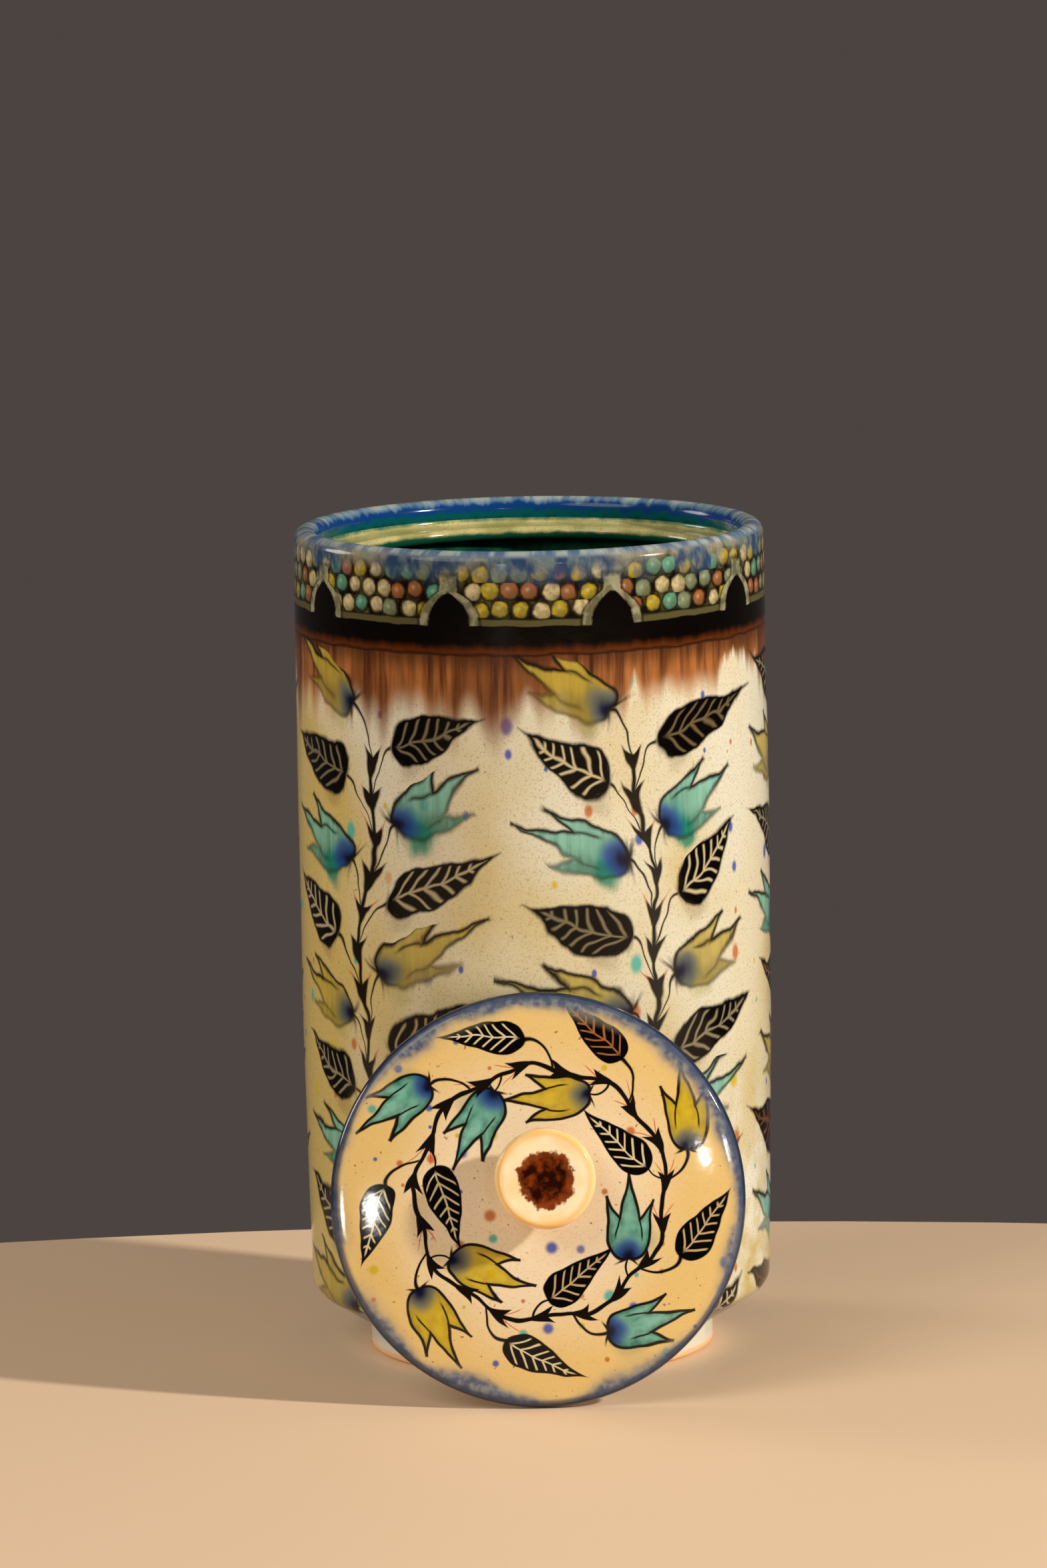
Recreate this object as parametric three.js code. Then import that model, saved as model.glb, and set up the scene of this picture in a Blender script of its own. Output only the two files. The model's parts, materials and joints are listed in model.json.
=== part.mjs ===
// A lidded storage jar of glazed earthenware: a tall, nearly straight wall on a bevelled base,
// a ledge inside the mouth for the lid, and the lid itself, off the jar and leaning on its front.
// Millimetres, +Z up. The origin is the middle of the foot's flat underside.
import * as THREE from 'three';

// Jar, outside
const jarHeight = 213;
const rimRadius = 60;
const bellySwell = 0.5;
const bellyHeight = 115;
const shoulderDraw = 0.7;
const shoulderRounding = 5;
const bevelSlope = 31.6;
const footInset = 15.6;
const footHeight = 7;
const footEdgeRounding = 1.5;

// Jar, inside
const rimThickness = 6;
const wallShelf = 1;
const bevelThickness = 6;
const floorThickness = 7;
const insideRounding = 5;
const joinMargin = 2;

// Ledge that carries the lid
const ledgeDepth = 6.6;
const ledgeThickness = 3.6;
const ledgeReach = 6;
const ledgeRounding = 1.2;
const ledgeGap = 0.3;

// Lid
const lidClearance = 2;
const lidEdgeThickness = 4;
const lidUnderRounding = 1.2;
const lidCrownThickness = 6.2;
const lidPlateauRadius = 37;

// Knob of the lid
const knobRadius = 12.75;
const knobHeight = 11.4;
const knobFaceRadius = 11.2;
const knobEdgeHeight = 8.9;
const knobUnderRadius = 11.5;
const knobUnderHeight = 6.4;
const knobWaistRadius = 8.8;
const knobWaistHeight = 2.2;
const knobFlare = 1.6;
const knobOffsetAcross = 1.8;
const knobOffsetUp = 5.8;
const seatGap = 0.3;

// How the lid leans: its tilt from upright, its place across, and its clearance to the wall
const leanAngle = 9;
const leanAcross = -0.6;
const leanGap = 0.3;

// Facets round each turned piece, and steps along the curves of its outline
const jarFacets = 60;
const lidFacets = 60;
const knobFacets = 36;
const wallSteps = 10;
const crownSteps = 8;
const lipSteps = 8;
const shoulderSteps = 5;
const edgeSteps = 4;
const floorSteps = 3;

const degrees = Math.PI / 180;

// The jar's other outside radii follow the rim's.
const bellyRadius = rimRadius + bellySwell;
const shoulderRadius = rimRadius - shoulderDraw;
const footRadius = rimRadius - footInset;

const creamGlaze = new THREE.MeshStandardMaterial({ color: 0xe3d8b4, roughness: 0.14, metalness: 0 });
const bandGlaze = new THREE.MeshStandardMaterial({ color: 0xd9c79c, roughness: 0.14, metalness: 0 });
const ledgeGlaze = new THREE.MeshStandardMaterial({ color: 0xb9bb8a, roughness: 0.12, metalness: 0 });
const lidGlaze = new THREE.MeshStandardMaterial({ color: 0xf0cf9c, roughness: 0.12, metalness: 0 });
const knobGlaze = new THREE.MeshStandardMaterial({ color: 0xefd9ae, roughness: 0.12, metalness: 0 });

// Points of an elliptical arc; angles in degrees, counted from +x towards +y.
function arc(x, y, acrossRadius, upRadius, from, to, steps) {
  const points = [];
  for (let step = 0; step <= steps; step += 1) {
    const angle = (from + ((to - from) * step) / steps) * degrees;
    points.push([x + acrossRadius * Math.cos(angle), y + upRadius * Math.sin(angle)]);
  }
  return points;
}

// A solid of revolution about Z. The outline runs counter-clockwise in [radius, height].
function turned(name, outline, facets, material) {
  const points = outline.map(([radius, height]) => new THREE.Vector2(radius, height));
  const geometry = new THREE.LatheGeometry(points, facets);
  geometry.rotateX(Math.PI / 2);
  const mesh = new THREE.Mesh(geometry, material);
  mesh.name = name;
  return mesh;
}

// Drops points that repeat the one before, which tangent arcs leave where they meet.
function withoutRepeats(outline) {
  const nearest = 1e-6;
  return outline.filter((point, index) => {
    const before = outline[index - 1];
    return index === 0 || Math.hypot(point[0] - before[0], point[1] - before[1]) > nearest;
  });
}

// The bevel between foot and shoulder: a line that climbs outwards at the bevel's slope.
const slopeRise = Math.tan(bevelSlope * degrees);
const slopeAcross = Math.cos(bevelSlope * degrees);
const slopeUp = Math.sin(bevelSlope * degrees);
const cornerTangent = Math.tan((45 - bevelSlope / 2) * degrees);

// Height where the bevel's outer line would meet the upright wall at the shoulder's radius
const outerCornerHeight = footHeight + (shoulderRadius - footRadius) * slopeRise;
const shoulderTop = outerCornerHeight + shoulderRounding * cornerTangent;

// The inner line of the bevel runs parallel to the outer one, one thickness inside it.
const insideRadius = rimRadius - rimThickness - wallShelf;
const innerLineRadius = footRadius - bevelThickness * slopeUp;
const innerLineHeight = footHeight + bevelThickness * slopeAcross;
const innerCornerHeight = innerLineHeight + (insideRadius - innerLineRadius) * slopeRise;
const innerShoulderTop = innerCornerHeight + insideRounding * cornerTangent;
const floorCornerRadius = innerLineRadius - (innerLineHeight - floorThickness) / slopeRise;
const floorTangent = insideRounding * Math.tan((bevelSlope / 2) * degrees);

// Base and wall are luted together just above the rounding of both shoulders.
const joinHeight = Math.max(shoulderTop, innerShoulderTop) + joinMargin;

// Radius of the wall's outside: fullest at the belly, and drawn in a little above and below it.
const neckHeight = jarHeight - rimThickness / 2;
function wallRadius(height) {
  if (height < bellyHeight) {
    const share = (bellyHeight - height) / (bellyHeight - joinHeight);
    return bellyRadius + (shoulderRadius - bellyRadius) * share * share;
  }
  const share = (height - bellyHeight) / (neckHeight - bellyHeight);
  return bellyRadius + (rimRadius - bellyRadius) * share * share;
}

function baseOutline() {
  const edge = footEdgeRounding;
  const underside = arc(footRadius - edge, edge, edge, edge, -90, 0, edgeSteps);
  const bevelEnd = bevelSlope - 90;
  const outer = shoulderRounding;
  const shoulder = arc(shoulderRadius - outer, shoulderTop, outer, outer, bevelEnd, 0, shoulderSteps);
  const inner = insideRounding;
  const insideWall = arc(insideRadius - inner, innerShoulderTop, inner, inner, 0, bevelEnd, shoulderSteps);
  const floorCentre = floorCornerRadius - floorTangent;
  const floor = arc(floorCentre, floorThickness + inner, inner, inner, bevelEnd, -90, floorSteps);
  return withoutRepeats([
    [0, 0],
    ...underside,
    [footRadius, footHeight],
    ...shoulder,
    [shoulderRadius, joinHeight],
    [insideRadius, joinHeight],
    ...insideWall,
    ...floor,
    [0, floorThickness],
  ]);
}

const ledgeTop = jarHeight - ledgeDepth;
const shelfHeight = ledgeTop - ledgeThickness;
const rimInsideRadius = rimRadius - rimThickness;

function wallOutline() {
  const outside = [];
  for (let step = 0; step <= wallSteps; step += 1) {
    const height = joinHeight + ((neckHeight - joinHeight) * step) / wallSteps;
    outside.push([wallRadius(height), height]);
  }
  const lipRadius = rimThickness / 2;
  const lip = arc(rimRadius - lipRadius, neckHeight, lipRadius, lipRadius, 0, 180, lipSteps);
  return withoutRepeats([
    ...outside,
    ...lip,
    [rimInsideRadius, shelfHeight],
    [insideRadius, shelfHeight],
    [insideRadius, joinHeight],
    outside[0],
  ]);
}

function ledgeOutline() {
  const outer = rimInsideRadius - ledgeGap;
  const inner = rimInsideRadius - ledgeReach;
  const nose = inner + ledgeRounding;
  const round = ledgeRounding;
  return withoutRepeats([
    [outer, shelfHeight],
    [outer, ledgeTop],
    ...arc(nose, ledgeTop - round, round, round, 90, 180, edgeSteps),
    ...arc(nose, shelfHeight + round, round, round, 180, 270, edgeSteps),
    [outer, shelfHeight],
  ]);
}

const lidRadius = rimInsideRadius - lidClearance;
const lidTopRounding = lidEdgeThickness - lidUnderRounding;

// The lid: flat underneath, a fully round edge, and a soft slope up to a flat middle.
function lidOutline() {
  const slopeFoot = lidRadius - lidTopRounding;
  const slopeWidth = slopeFoot - lidPlateauRadius;
  const slopeHeight = lidCrownThickness - lidEdgeThickness;
  const crown = [];
  for (let step = 1; step <= crownSteps; step += 1) {
    const share = step / crownSteps;
    const lift = Math.sin(share * 90 * degrees);
    crown.push([slopeFoot - slopeWidth * share, lidEdgeThickness + slopeHeight * lift]);
  }
  const under = lidUnderRounding;
  return withoutRepeats([
    [0, 0],
    ...arc(lidRadius - under, under, under, under, -90, 0, edgeSteps),
    ...arc(slopeFoot, under, lidTopRounding, lidTopRounding, 0, 90, shoulderSteps),
    ...crown,
    [0, lidCrownThickness],
  ]);
}

// The knob: a short flared waist under a button with a round edge and a nearly flat face.
function knobOutline() {
  const hollowAcross = knobUnderRadius - knobWaistRadius;
  const hollowUp = knobUnderHeight - knobWaistHeight;
  const underAcross = knobRadius - knobUnderRadius;
  const underUp = knobEdgeHeight - knobUnderHeight;
  const faceAcross = knobRadius - knobFaceRadius;
  const faceUp = knobHeight - knobEdgeHeight;
  const flareCentre = knobWaistRadius + knobFlare;
  const waist = arc(flareCentre, knobWaistHeight, knobFlare, knobWaistHeight, 270, 180, floorSteps);
  const hollow = arc(knobUnderRadius, knobWaistHeight, hollowAcross, hollowUp, 180, 90, edgeSteps);
  const edgeUnder = arc(knobUnderRadius, knobEdgeHeight, underAcross, underUp, -90, 0, edgeSteps);
  const edgeTop = arc(knobFaceRadius, knobEdgeHeight, faceAcross, faceUp, 0, 90, shoulderSteps);
  return withoutRepeats([
    [0, 0],
    ...waist,
    ...hollow,
    ...edgeUnder,
    ...edgeTop,
    [0, knobHeight],
  ]);
}

const jar = new THREE.Group();
jar.add(turned('jar_base', baseOutline(), jarFacets, creamGlaze));
jar.add(turned('jar_wall', wallOutline(), jarFacets, bandGlaze));
jar.add(turned('lid_ledge', ledgeOutline(), jarFacets, ledgeGlaze));

// The lid stands on its edge in front of the jar, leans back on the belly and shows its knob to the
// front. Its own +Z is the knob's axis and its own +Y runs up its face.
const lid = new THREE.Group();
const edgeCentre = lidRadius - lidUnderRounding;
const leanSin = Math.sin(leanAngle * degrees);
const leanCos = Math.cos(leanAngle * degrees);
const lidLift = lidUnderRounding + edgeCentre * leanCos - lidUnderRounding * leanSin;
const touchDistance = bellyRadius + leanGap + lidUnderRounding;
const lidForward = -touchDistance - edgeCentre * leanSin + lidUnderRounding * leanCos;
lid.position.set(leanAcross, lidForward, lidLift);
lid.rotation.x = (90 - leanAngle) * degrees;

lid.add(turned('lid_plate', lidOutline(), lidFacets, lidGlaze));
const knob = turned('lid_knob', knobOutline(), knobFacets, knobGlaze);
knob.position.set(knobOffsetAcross, knobOffsetUp, lidCrownThickness + seatGap);
lid.add(knob);

const part = new THREE.Group();
part.add(jar, lid);

export default part;
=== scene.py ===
"""A lidded storage jar of glazed, painted earthenware: its fine surface, its paint and a plain studio."""

import json
import math
from collections import namedtuple

import bpy
from mathutils import Matrix, Vector


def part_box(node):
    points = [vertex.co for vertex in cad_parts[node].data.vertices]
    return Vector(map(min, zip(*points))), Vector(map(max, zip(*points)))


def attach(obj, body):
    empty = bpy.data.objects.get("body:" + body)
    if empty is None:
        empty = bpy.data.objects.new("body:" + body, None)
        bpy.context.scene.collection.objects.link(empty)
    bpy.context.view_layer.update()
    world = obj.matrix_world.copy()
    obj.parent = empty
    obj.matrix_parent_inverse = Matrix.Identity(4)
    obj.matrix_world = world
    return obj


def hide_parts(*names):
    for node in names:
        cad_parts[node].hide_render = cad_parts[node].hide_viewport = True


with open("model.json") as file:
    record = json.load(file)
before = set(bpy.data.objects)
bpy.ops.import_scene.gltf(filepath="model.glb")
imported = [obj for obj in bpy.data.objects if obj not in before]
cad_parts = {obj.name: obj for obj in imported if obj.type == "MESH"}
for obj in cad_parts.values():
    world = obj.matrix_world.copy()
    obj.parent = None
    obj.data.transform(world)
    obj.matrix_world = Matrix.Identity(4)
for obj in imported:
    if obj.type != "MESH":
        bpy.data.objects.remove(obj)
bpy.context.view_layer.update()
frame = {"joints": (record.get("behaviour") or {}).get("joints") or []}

MM = 0.001

# Sizes in millimetres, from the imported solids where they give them
base_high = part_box("jar_base")[1] / MM
wall_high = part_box("jar_wall")[1] / MM
ledge_low, ledge_high = (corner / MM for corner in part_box("lid_ledge"))
plate_low, plate_high = (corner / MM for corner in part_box("lid_plate"))
knob_low, knob_high = (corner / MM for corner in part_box("lid_knob"))

JAR_HEIGHT = wall_high.z
BELLY_RADIUS = wall_high.x
SHOULDER_RADIUS = base_high.x
JOIN_HEIGHT = base_high.z
LEDGE_TOP = ledge_high.z
LEDGE_BOTTOM = ledge_low.z
LID_RADIUS = (plate_high.x - plate_low.x) / 2
KNOB_RADIUS = (knob_high.x - knob_low.x) / 2

RIM_RADIUS = 60.0
BELLY_HEIGHT = 115.0
RIM_THICKNESS = 6.0
WALL_SHELF = 1.0
SHOULDER_ROUNDING = 5.0
BEVEL_SLOPE = 31.6
FOOT_RADIUS = 44.4
FOOT_HEIGHT = 7.0
FOOT_EDGE_ROUNDING = 1.5
FOOT_FILLET = 1.6
BEVEL_THICKNESS = 6.0
FLOOR_THICKNESS = 7.0
INSIDE_ROUNDING = 5.0
LEDGE_REACH = 6.0
LEDGE_NOSE_ROUNDING = 1.5
LEDGE_FILLET = 1.4
LEDGE_FALL = 0.35
SUNK = 0.12

LID_UNDER_ROUNDING = 1.2
LID_EDGE_THICKNESS = 4.0
LID_CROWN_THICKNESS = 6.2
LID_DOME_POWER = 3.2

KNOB_OFFSET = (1.8, 5.8)
KNOB_GAP = 0.3
KNOB_HEIGHT = 11.36
KNOB_FACE_RADIUS = 11.2
KNOB_EDGE_HEIGHT = 8.9
KNOB_UNDER_RADIUS = 11.5
KNOB_UNDER_HEIGHT = 6.4
KNOB_WAIST_RADIUS = 8.8
KNOB_WAIST_HEIGHT = 2.2
KNOB_FLARE = 1.9
KNOB_DISH = 0.25

# How far hand throwing leaves the surface from a true circle
JAR_UNEVENNESS = 0.42
LID_UNEVENNESS = 0.22

# Its waves: how many round the piece, their twist per millimetre of height, their start and their share
THROWING_WAVES = ((2, 0.021, 0.6, 1.0), (3, -0.034, 2.1, 0.8), (5, 0.052, 4.0, 0.5))
THROWING_RIDGE_TURN = 0.115
THROWING_RIDGE_SHARE = 0.7
THROWING_TOTAL = THROWING_RIDGE_SHARE + sum(wave[3] for wave in THROWING_WAVES)

FACES_ROUND = 360
SHARP_CORNER = math.radians(40)
SAME_POINT = 1e-4
ON_AXIS = 1e-6


# Turned meshes

def add_object(name, data):
    """A new object in the scene."""
    thing = bpy.data.objects.new(name, data)
    bpy.context.scene.collection.objects.link(thing)
    return thing


def arc(centre, across, up, start, end, steps):
    """Points of an elliptical arc; angles in degrees, counted from +x towards +y."""
    points = []
    for step in range(steps + 1):
        angle = math.radians(start + (end - start) * step / steps)
        points.append((centre[0] + across * math.cos(angle), centre[1] + up * math.sin(angle)))
    return points


def line(first, last, steps):
    """Points of a straight line, without its last one."""
    points = []
    for step in range(steps):
        share = step / steps
        points.append(tuple(a + (b - a) * share for a, b in zip(first, last)))
    return points


def hand_thrown(angle, height, depth):
    """How far the surface lies inside the true circle there, in millimetres, from 0 to depth."""
    ridges = math.sin(THROWING_RIDGE_TURN * height + 0.4 * math.sin(angle) + 1.0)
    waves = THROWING_RIDGE_SHARE * ridges
    for count, twist, start, share in THROWING_WAVES:
        waves += share * math.sin(count * angle + twist * height + start)
    return depth * (0.5 + waves / (2 * THROWING_TOTAL))


def turned(name, stretches, depth, place=None):
    """A mesh turned about Z. Each stretch is (finish number, its points); depth is its unevenness.

    The mesh is moved by the matrix place, which is in metres.
    """
    points = []
    finishes = []
    for finish, stretch in stretches:
        for radius, height in stretch:
            if points and math.dist(points[-1], (radius, height)) < SAME_POINT:
                continue
            points.append((radius, height))
            finishes.append(finish)
    closed = points[0][0] > 0
    if closed and math.dist(points[0], points[-1]) < SAME_POINT:
        points.pop()
        finishes.pop()

    vertices = []
    rings = []
    for radius, height in points:
        if radius < ON_AXIS:
            rings.append([len(vertices)] * FACES_ROUND)
            vertices.append((0.0, 0.0, height * MM))
            continue
        ring = []
        for step in range(FACES_ROUND):
            angle = 2 * math.pi * step / FACES_ROUND
            near = (radius - hand_thrown(angle, height, depth)) * MM
            ring.append(len(vertices))
            vertices.append((near * math.cos(angle), near * math.sin(angle), height * MM))
        rings.append(ring)
    if place is not None:
        vertices = [place @ Vector(vertex) for vertex in vertices]

    faces = []
    slots = []
    count = len(points)
    for row in range(count if closed else count - 1):
        low = rings[row]
        high = rings[(row + 1) % count]
        for step in range(FACES_ROUND):
            after = (step + 1) % FACES_ROUND
            corners = list(dict.fromkeys((low[step], low[after], high[after], high[step])))
            if len(corners) > 2:
                faces.append(corners)
                slots.append(finishes[(row + 1) % count])

    mesh = bpy.data.meshes.new(name)
    mesh.from_pydata(vertices, [], faces)
    mesh.polygons.foreach_set("material_index", slots)
    mesh.validate()
    mesh.shade_smooth()
    mesh.set_sharp_from_angle(angle=SHARP_CORNER)
    return add_object(name, mesh)


# Finish numbers: which of a piece's materials a stretch of its outline takes
OUTSIDE = 0
INSIDE = 1

# The bevel between foot and shoulder, outside and inside
slope_rise = math.tan(math.radians(BEVEL_SLOPE))
slope_across = math.cos(math.radians(BEVEL_SLOPE))
slope_up = math.sin(math.radians(BEVEL_SLOPE))
corner_tangent = math.tan(math.radians(45 - BEVEL_SLOPE / 2))
bevel_end = BEVEL_SLOPE - 90

outer_corner = FOOT_HEIGHT + (SHOULDER_RADIUS - FOOT_RADIUS) * slope_rise
shoulder_top = outer_corner + SHOULDER_ROUNDING * corner_tangent
inside_radius = RIM_RADIUS - RIM_THICKNESS - WALL_SHELF
inner_line_radius = FOOT_RADIUS - BEVEL_THICKNESS * slope_up
inner_line_height = FOOT_HEIGHT + BEVEL_THICKNESS * slope_across
inner_corner = inner_line_height + (inside_radius - inner_line_radius) * slope_rise
inner_shoulder_top = inner_corner + INSIDE_ROUNDING * corner_tangent
floor_corner = inner_line_radius - (inner_line_height - FLOOR_THICKNESS) / slope_rise
floor_centre = floor_corner - INSIDE_ROUNDING * math.tan(math.radians(BEVEL_SLOPE / 2))
rim_inside_radius = RIM_RADIUS - RIM_THICKNESS
neck_height = JAR_HEIGHT - RIM_THICKNESS / 2


def wall_radius(height):
    """Radius of the wall's outside: fullest at the belly, drawn in a little above and below it."""
    if height < BELLY_HEIGHT:
        share = (BELLY_HEIGHT - height) / (BELLY_HEIGHT - JOIN_HEIGHT)
        return BELLY_RADIUS + (SHOULDER_RADIUS - BELLY_RADIUS) * share * share
    share = (height - BELLY_HEIGHT) / (neck_height - BELLY_HEIGHT)
    return BELLY_RADIUS + (RIM_RADIUS - BELLY_RADIUS) * share * share


def make_base():
    """The foot, bevel and shoulder, with a fillet of glaze in the corner above the foot."""
    edge = FOOT_EDGE_ROUNDING
    fillet_tangent = FOOT_FILLET * math.tan(math.radians((90 - BEVEL_SLOPE) / 2))
    fillet_low = FOOT_HEIGHT - fillet_tangent
    fillet_centre = (FOOT_RADIUS + FOOT_FILLET, fillet_low)
    shoulder_centre = (SHOULDER_RADIUS - SHOULDER_ROUNDING, shoulder_top)
    fillet = arc(fillet_centre, FOOT_FILLET, FOOT_FILLET, 180, 90 + BEVEL_SLOPE, 10)
    shoulder = arc(shoulder_centre, SHOULDER_ROUNDING, SHOULDER_ROUNDING, bevel_end, 0, 20)
    inner = INSIDE_ROUNDING
    inside_wall = arc((inside_radius - inner, inner_shoulder_top), inner, inner, 0, bevel_end, 12)
    floor = arc((floor_centre, FLOOR_THICKNESS + inner), inner, inner, bevel_end, -90, 8)
    underside = line((0.0, 0.0), (FOOT_RADIUS - edge, 0.0), 6)
    foot_edge = arc((FOOT_RADIUS - edge, edge), edge, edge, -90, 0, 10)
    outside = [
        *line((FOOT_RADIUS, edge), fillet[0], 6),
        *fillet,
        *line(fillet[-1], shoulder[0], 16),
        *shoulder,
        *line((SHOULDER_RADIUS, shoulder_top), (SHOULDER_RADIUS, JOIN_HEIGHT), 3),
        (SHOULDER_RADIUS, JOIN_HEIGHT),
    ]
    inside = [
        (inside_radius, JOIN_HEIGHT),
        *inside_wall,
        *line(inside_wall[-1], floor[0], 10),
        *floor,
        *line(floor[-1], (0.0, FLOOR_THICKNESS), 8),
        (0.0, FLOOR_THICKNESS),
    ]
    stretches = [(OUTSIDE, underside + foot_edge + outside), (INSIDE, inside)]
    return turned("base_glazed", stretches, JAR_UNEVENNESS)


def make_wall():
    """The tall wall with its rounded lip and the shelf that carries the ledge."""
    steps = 60
    outside = []
    for step in range(steps + 1):
        height = JOIN_HEIGHT + (neck_height - JOIN_HEIGHT) * step / steps
        outside.append((wall_radius(height), height))
    lip_radius = RIM_THICKNESS / 2
    lip = arc((RIM_RADIUS - lip_radius, neck_height), lip_radius, lip_radius, 0, 180, 28)
    mouth = line(lip[-1], (rim_inside_radius, LEDGE_BOTTOM), 8)
    inside = [
        (rim_inside_radius, LEDGE_BOTTOM),
        (inside_radius, LEDGE_BOTTOM),
        *line((inside_radius, LEDGE_BOTTOM), (inside_radius, JOIN_HEIGHT), 40),
        (inside_radius, JOIN_HEIGHT),
        outside[0],
    ]
    stretches = [(OUTSIDE, outside + lip + mouth), (INSIDE, inside)]
    return turned("wall_glazed", stretches, JAR_UNEVENNESS)


def make_ledge():
    """The ring inside the mouth. Glaze fills the corners between it and the wall."""
    wall = rim_inside_radius + SUNK
    nose = rim_inside_radius - LEDGE_REACH + LEDGE_NOSE_ROUNDING
    nose_top = LEDGE_TOP - LEDGE_FALL
    nose_up = (nose_top - LEDGE_BOTTOM) / 2
    nose_centre = (nose, LEDGE_BOTTOM + nose_up)
    fillet_centre = (rim_inside_radius - LEDGE_FILLET, LEDGE_TOP + LEDGE_FILLET)
    stretches = [(OUTSIDE, [
        (wall, LEDGE_BOTTOM),
        (wall, LEDGE_TOP + LEDGE_FILLET),
        *arc(fillet_centre, LEDGE_FILLET, LEDGE_FILLET, 0, -90, 10),
        *line((rim_inside_radius - LEDGE_FILLET, LEDGE_TOP), (nose, nose_top), 6),
        *arc(nose_centre, LEDGE_NOSE_ROUNDING, nose_up, 90, 270, 20),
        *line((nose, LEDGE_BOTTOM), (wall, LEDGE_BOTTOM), 5),
        (wall, LEDGE_BOTTOM),
    ])]
    return turned("ledge_glazed", stretches, JAR_UNEVENNESS)


# The lid's own frame: +Z along the knob's axis and +Y up its face

lid_axis = Vector(frame["joints"][0]["axis"]).normalized()
lid_up = lid_axis.cross(Vector((1, 0, 0)))
edge_centre = LID_RADIUS - LID_UNDER_ROUNDING
lid_centre = Vector((
    (plate_low.x + plate_high.x) / 2,
    plate_high.y - edge_centre * lid_up.y - LID_UNDER_ROUNDING * (1 + lid_axis.y),
    plate_low.z + edge_centre * lid_up.z + LID_UNDER_ROUNDING * (1 - lid_axis.z),
)) * MM
lid_place = Matrix.Translation(lid_centre) @ Matrix((
    (1, 0, 0), lid_up, lid_axis)).transposed().to_4x4()
knob_place = lid_place @ Matrix.Translation(Vector((
    *KNOB_OFFSET, LID_CROWN_THICKNESS + KNOB_GAP)) * MM)


def make_plate():
    """The lid's plate: flat underneath, a fully round edge and a soft dome."""
    under = LID_UNDER_ROUNDING
    top = LID_EDGE_THICKNESS - under
    slope_foot = LID_RADIUS - top
    crown = []
    steps = 40
    for step in range(1, steps + 1):
        radius = slope_foot * (1 - step / steps)
        fall = (LID_CROWN_THICKNESS - LID_EDGE_THICKNESS) * (radius / slope_foot) ** LID_DOME_POWER
        crown.append((radius, LID_CROWN_THICKNESS - fall))
    outside = [
        *arc((LID_RADIUS - under, under), under, under, -90, 0, 8),
        *arc((slope_foot, under), top, top, 0, 90, 16),
        *crown,
    ]
    rest_radius = LID_RADIUS - under
    underside = [*line((0.0, 0.0), (rest_radius, 0.0), 12), (rest_radius, 0.0)]
    return turned("plate_glazed", [(INSIDE, underside), (OUTSIDE, outside)], LID_UNEVENNESS, lid_place)


def make_knob():
    """The knob, its foot sunk a little into the plate's glaze."""
    flare = arc(
        (KNOB_WAIST_RADIUS + KNOB_FLARE, KNOB_WAIST_HEIGHT),
        KNOB_FLARE, KNOB_WAIST_HEIGHT + KNOB_GAP, 270, 180, 12)
    hollow = arc(
        (KNOB_UNDER_RADIUS, KNOB_WAIST_HEIGHT),
        KNOB_UNDER_RADIUS - KNOB_WAIST_RADIUS, KNOB_UNDER_HEIGHT - KNOB_WAIST_HEIGHT, 180, 90, 14)
    edge_under = arc(
        (KNOB_UNDER_RADIUS, KNOB_EDGE_HEIGHT),
        KNOB_RADIUS - KNOB_UNDER_RADIUS, KNOB_EDGE_HEIGHT - KNOB_UNDER_HEIGHT, -90, 0, 12)
    edge_top = arc(
        (KNOB_FACE_RADIUS, KNOB_EDGE_HEIGHT),
        KNOB_RADIUS - KNOB_FACE_RADIUS, KNOB_HEIGHT - KNOB_EDGE_HEIGHT, 0, 90, 16)
    face = []
    steps = 20
    for step in range(1, steps + 1):
        radius = KNOB_FACE_RADIUS * (1 - step / steps)
        dish = KNOB_DISH * 0.5 * (1 + math.cos(math.pi * radius / KNOB_FACE_RADIUS))
        face.append((radius, KNOB_HEIGHT - dish))
    outline = [(0.0, -KNOB_GAP - SUNK), (flare[0][0], -KNOB_GAP - SUNK)]
    outline += flare + hollow + edge_under + edge_top + face
    return turned("knob_glazed", [(OUTSIDE, outline)], LID_UNEVENNESS, knob_place)


# Shader arithmetic: a Field is a number or colour that varies over the surface

class Field:
    """One output of a shader node, with arithmetic that adds nodes to its tree."""

    def __init__(self, tree, socket):
        self.tree = tree
        self.socket = socket

    def __abs__(self):
        return calculate("ABSOLUTE", self)


def operator(operation, swapped):
    """A method that runs a Math node on a Field and another value, swapped or not."""
    def run(field, other):
        first, second = (other, field) if swapped else (field, other)
        return calculate(operation, first, second)
    return run


OPERATORS = {"add": "ADD", "sub": "SUBTRACT", "mul": "MULTIPLY", "truediv": "DIVIDE", "pow": "POWER"}
for method, operation in OPERATORS.items():
    setattr(Field, f"__{method}__", operator(operation, False))
    setattr(Field, f"__r{method}__", operator(operation, True))


def feed(value, socket):
    """Links a Field to a socket, or sets the socket's own value. A tuple is a colour for paint."""
    if isinstance(value, Field):
        value.tree.links.new(value.socket, socket)
    else:
        socket.default_value = paint(*value) if isinstance(value, tuple) else value


def shade(kind, inputs, output=0, **settings):
    """One output of a new node of this kind; inputs says what goes into its sockets."""
    tree = next(value.tree for value in inputs.values() if isinstance(value, Field))
    node = tree.nodes.new("ShaderNode" + kind)
    for name, setting in settings.items():
        setattr(node, name, setting)
    for socket, value in inputs.items():
        feed(value, node.inputs[socket])
    return Field(tree, node.outputs[output])


def outputs_of(field):
    """All the outputs of the node that a Field comes from."""
    return [Field(field.tree, socket) for socket in field.socket.node.outputs]


def calculate(operation, *values):
    """A Math node over Fields and numbers."""
    return shade("Math", dict(enumerate(values)), operation=operation)


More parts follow.
